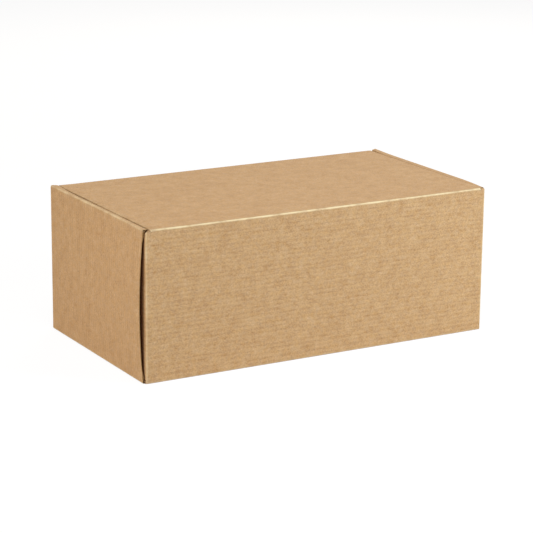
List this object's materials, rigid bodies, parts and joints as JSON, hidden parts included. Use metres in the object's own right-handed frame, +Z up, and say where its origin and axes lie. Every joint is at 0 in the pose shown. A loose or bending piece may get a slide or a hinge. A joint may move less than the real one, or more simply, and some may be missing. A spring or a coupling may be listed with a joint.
{
  "type": "cardboard box",
  "caption": "Closed corrugated cardboard postal box with rolled ends, a hinged lid with a front tuck flap, for storing and sending goods.",
  "frame": {"origin": "middle of the box's underside, midway between the walls and the end folds, on the surface it stands on", "axes": "+X along the box's length, +Y from the hinge wall towards the front where the lid tucks in, +Z up"},
  "size_m": [0.3027, 0.163, 0.1159],
  "materials": {
    "tray_board": "matte brown kraft paper over fine corrugation",
    "lid_board": "matte brown kraft paper over fine corrugation"
  },
  "bodies": {
    "tray": {"tray": "tray_board"},
    "lid": {"lid": "lid_board"}
  },
  "joints": [
    {"name": "lid_hinge", "type": "hinge", "parent": "tray", "child": "lid", "pos_m": [0, -0.0815, 0.1155], "axis": [1, 0, 0], "range_deg": [0, 180]}
  ]
}
